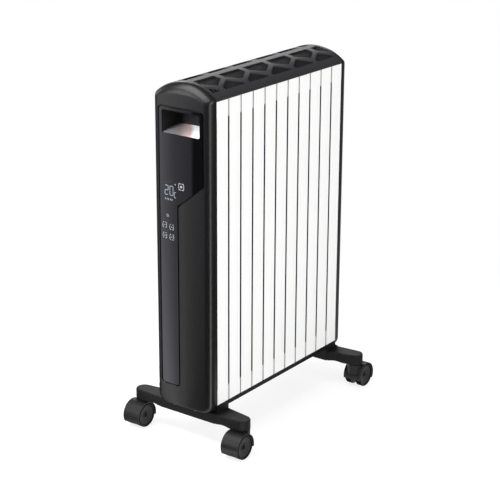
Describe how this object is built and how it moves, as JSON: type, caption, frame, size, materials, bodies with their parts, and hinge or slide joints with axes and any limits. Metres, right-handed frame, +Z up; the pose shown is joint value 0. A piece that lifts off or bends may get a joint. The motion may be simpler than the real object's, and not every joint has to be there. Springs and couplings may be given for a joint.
{
  "type": "electric panel radiator",
  "caption": "Slim freestanding electric radiator: flat white slatted sides, black end covers, touch fascia with display and grip pocket, arched vent grille and feet on swivel castors.",
  "frame": {"origin": "middle of the footprint, on the floor under the castors", "axes": "+Z up; X across the narrow body; Y along it, with the control end facing -Y"},
  "size_m": [0.2694, 0.4634, 0.6828],
  "materials": {
    "black_plastic": "satin moulded plastic",
    "smoked_gloss": "polished, smoky",
    "display_black": "tinted lens over lit segments",
    "circuit_board": "solder mask",
    "relay_blue": "moulded case",
    "cream_ceramic": "steatite",
    "switch_black": "fine grain",
    "white_sheet": "satin white powder coat",
    "white_aluminium": "satin white powder coat on extruded aluminium",
    "zinc_steel": "bright zinc plate",
    "element_steel": "heat-tinted sheath",
    "light_grey": "satin",
    "copper_lead": "silicone sleeve",
    "grille_grey": "satin, fine grain",
    "louvre_grey": "satin",
    "wheel_nylon": "hard nylon"
  },
  "bodies": {
    "base": {"front_cover": "black_plastic", "control_fascia": "smoked_gloss", "front_grip_pocket": "smoked_gloss", "display_module": "display_black", "control_board": "circuit_board", "power_board": "circuit_board", "power_relays": "relay_blue", "terminal_block": "cream_ceramic", "room_sensor": "switch_black", "tip_over_switch": "switch_black", "rocker_housing": "switch_black", "cord_gland": "switch_black", "bay_panel_left": "white_sheet", "bay_panel_right": "white_sheet", "front_bulkhead": "zinc_steel", "module_1": "white_aluminium", "module_2": "white_aluminium", "module_3": "white_aluminium", "module_4": "white_aluminium", "module_5": "white_aluminium", "heating_elements": "element_steel", "thermal_cutouts": "zinc_steel", "tie_rods": "zinc_steel", "tie_rod_nuts": "zinc_steel", "slat_gap_closers": "light_grey", "wiring_harness": "copper_lead", "rear_bulkhead": "zinc_steel", "rear_cover": "black_plastic", "rear_grip_pocket": "smoked_gloss", "bottom_tray": "black_plastic", "top_grille": "grille_grey", "louvre_insert": "louvre_grey", "cover_screws": "zinc_steel", "front_saddle": "black_plastic", "rear_saddle": "black_plastic", "front_foot": "black_plastic", "rear_foot": "black_plastic", "foot_screws": "zinc_steel", "castor_stems": "zinc_steel"},
    "rocker": {"mains_rocker": "switch_black"},
    "castor_front_left": {"hood_front_left": "black_plastic", "axle_front_left": "zinc_steel"},
    "wheel_front_left_outer": {"wheel_front_left_outer": "wheel_nylon"},
    "wheel_front_left_inner": {"wheel_front_left_inner": "wheel_nylon"},
    "castor_front_right": {"hood_front_right": "black_plastic", "axle_front_right": "zinc_steel"},
    "wheel_front_right_outer": {"wheel_front_right_outer": "wheel_nylon"},
    "wheel_front_right_inner": {"wheel_front_right_inner": "wheel_nylon"},
    "castor_rear_left": {"hood_rear_left": "black_plastic", "axle_rear_left": "zinc_steel"},
    "wheel_rear_left_outer": {"wheel_rear_left_outer": "wheel_nylon"},
    "wheel_rear_left_inner": {"wheel_rear_left_inner": "wheel_nylon"},
    "castor_rear_right": {"hood_rear_right": "black_plastic", "axle_rear_right": "zinc_steel"},
    "wheel_rear_right_outer": {"wheel_rear_right_outer": "wheel_nylon"},
    "wheel_rear_right_inner": {"wheel_rear_right_inner": "wheel_nylon"}
  },
  "joints": [
    {"name": "mains_rocker_tilt", "type": "hinge", "parent": "base", "child": "rocker", "pos_m": [-0.0574, -0.206, 0.1278], "axis": [0, -1, 0], "range_deg": [0, 16]},
    {"name": "castor_front_left_swivel", "type": "hinge", "parent": "base", "child": "castor_front_left", "pos_m": [-0.116, -0.191, 0.05], "axis": [0, 0, 1], "continuous": true},
    {"name": "wheel_front_left_outer_spin", "type": "hinge", "parent": "castor_front_left", "child": "wheel_front_left_outer", "pos_m": [-0.116, -0.2055, 0.023], "axis": [1, 0, 0], "continuous": true},
    {"name": "wheel_front_left_inner_spin", "type": "hinge", "parent": "castor_front_left", "child": "wheel_front_left_inner", "pos_m": [-0.116, -0.2055, 0.023], "axis": [1, 0, 0], "continuous": true},
    {"name": "castor_front_right_swivel", "type": "hinge", "parent": "base", "child": "castor_front_right", "pos_m": [0.116, -0.191, 0.05], "axis": [0, 0, 1], "continuous": true},
    {"name": "wheel_front_right_outer_spin", "type": "hinge", "parent": "castor_front_right", "child": "wheel_front_right_outer", "pos_m": [0.116, -0.2055, 0.023], "axis": [1, 0, 0], "continuous": true},
    {"name": "wheel_front_right_inner_spin", "type": "hinge", "parent": "castor_front_right", "child": "wheel_front_right_inner", "pos_m": [0.116, -0.2055, 0.023], "axis": [1, 0, 0], "continuous": true},
    {"name": "castor_rear_left_swivel", "type": "hinge", "parent": "base", "child": "castor_rear_left", "pos_m": [-0.116, 0.191, 0.05], "axis": [0, 0, 1], "continuous": true},
    {"name": "wheel_rear_left_outer_spin", "type": "hinge", "parent": "castor_rear_left", "child": "wheel_rear_left_outer", "pos_m": [-0.116, 0.2055, 0.023], "axis": [1, 0, 0], "continuous": true},
    {"name": "wheel_rear_left_inner_spin", "type": "hinge", "parent": "castor_rear_left", "child": "wheel_rear_left_inner", "pos_m": [-0.116, 0.2055, 0.023], "axis": [1, 0, 0], "continuous": true},
    {"name": "castor_rear_right_swivel", "type": "hinge", "parent": "base", "child": "castor_rear_right", "pos_m": [0.116, 0.191, 0.05], "axis": [0, 0, 1], "continuous": true},
    {"name": "wheel_rear_right_outer_spin", "type": "hinge", "parent": "castor_rear_right", "child": "wheel_rear_right_outer", "pos_m": [0.116, 0.2055, 0.023], "axis": [1, 0, 0], "continuous": true},
    {"name": "wheel_rear_right_inner_spin", "type": "hinge", "parent": "castor_rear_right", "child": "wheel_rear_right_inner", "pos_m": [0.116, 0.2055, 0.023], "axis": [1, 0, 0], "continuous": true}
  ]
}
